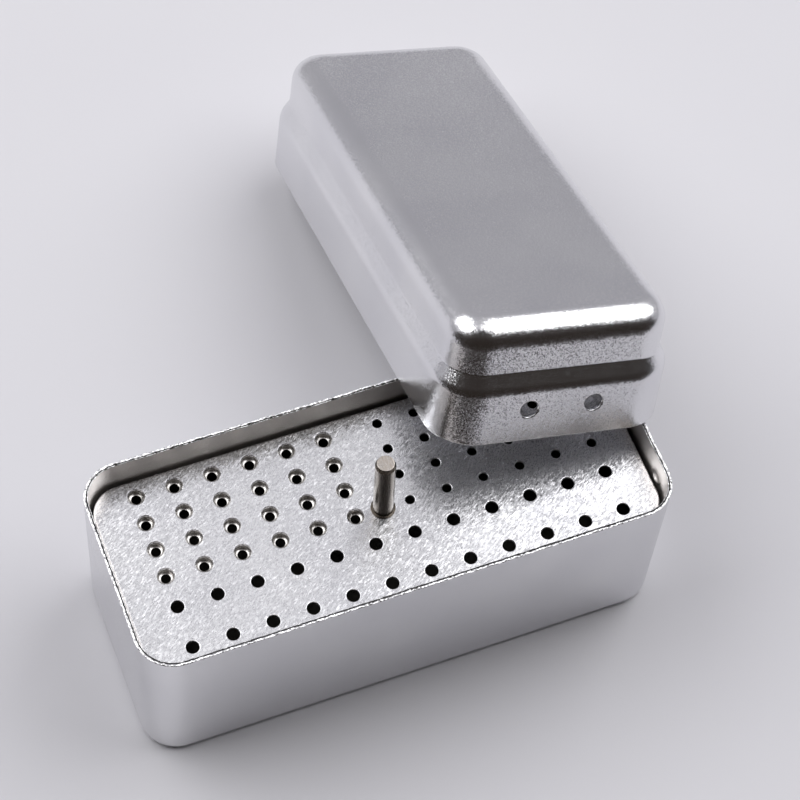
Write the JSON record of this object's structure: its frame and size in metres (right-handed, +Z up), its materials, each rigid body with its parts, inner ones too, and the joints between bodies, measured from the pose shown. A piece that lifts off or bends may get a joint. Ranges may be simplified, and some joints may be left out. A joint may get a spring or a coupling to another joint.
{
  "type": "endodontic box",
  "caption": "Drawn aluminium instrument box: rounded tub, perforated lift-out insert with a steel post, and a stepped lid leaning across its back.",
  "frame": {"origin": "centre of the flat foot of the tub, on the surface that it stands on", "axes": "+Z up, +X along the tub's length towards the plain small holes, +Y to the tub's back, where the lid leans"},
  "size_m": [0.1398, 0.156, 0.0806],
  "materials": {
    "blasted_aluminium": "fine blasted and clear anodised, satin",
    "insert_aluminium": "fine blasted and clear anodised, satin, a little brighter than the shells",
    "stainless_post": "turned stainless steel",
    "stainless_hardware": "plain stainless steel"
  },
  "bodies": {
    "tub": {"base_tub": "blasted_aluminium"},
    "insert": {"insert_tray": "insert_aluminium", "rest_plate": "insert_aluminium", "lifting_post": "stainless_post", "spacer_sleeve": "insert_aluminium", "plate_washer": "stainless_hardware", "post_nut": "stainless_hardware"},
    "lid": {"lid_cover": "blasted_aluminium"}
  },
  "joints": [
    {"name": "lid_lift", "type": "slide", "parent": "tub", "child": "lid", "axis": [0, 0, 1], "range_m": [0, 0.092]},
    {"name": "insert_lift", "type": "slide", "parent": "tub", "child": "insert", "axis": [0, 0, 1], "range_m": [0, 0.046]}
  ],
  "couplings": [
    {"joint": "insert_lift", "follows": "lid_lift", "ratio": 0.5}
  ]
}
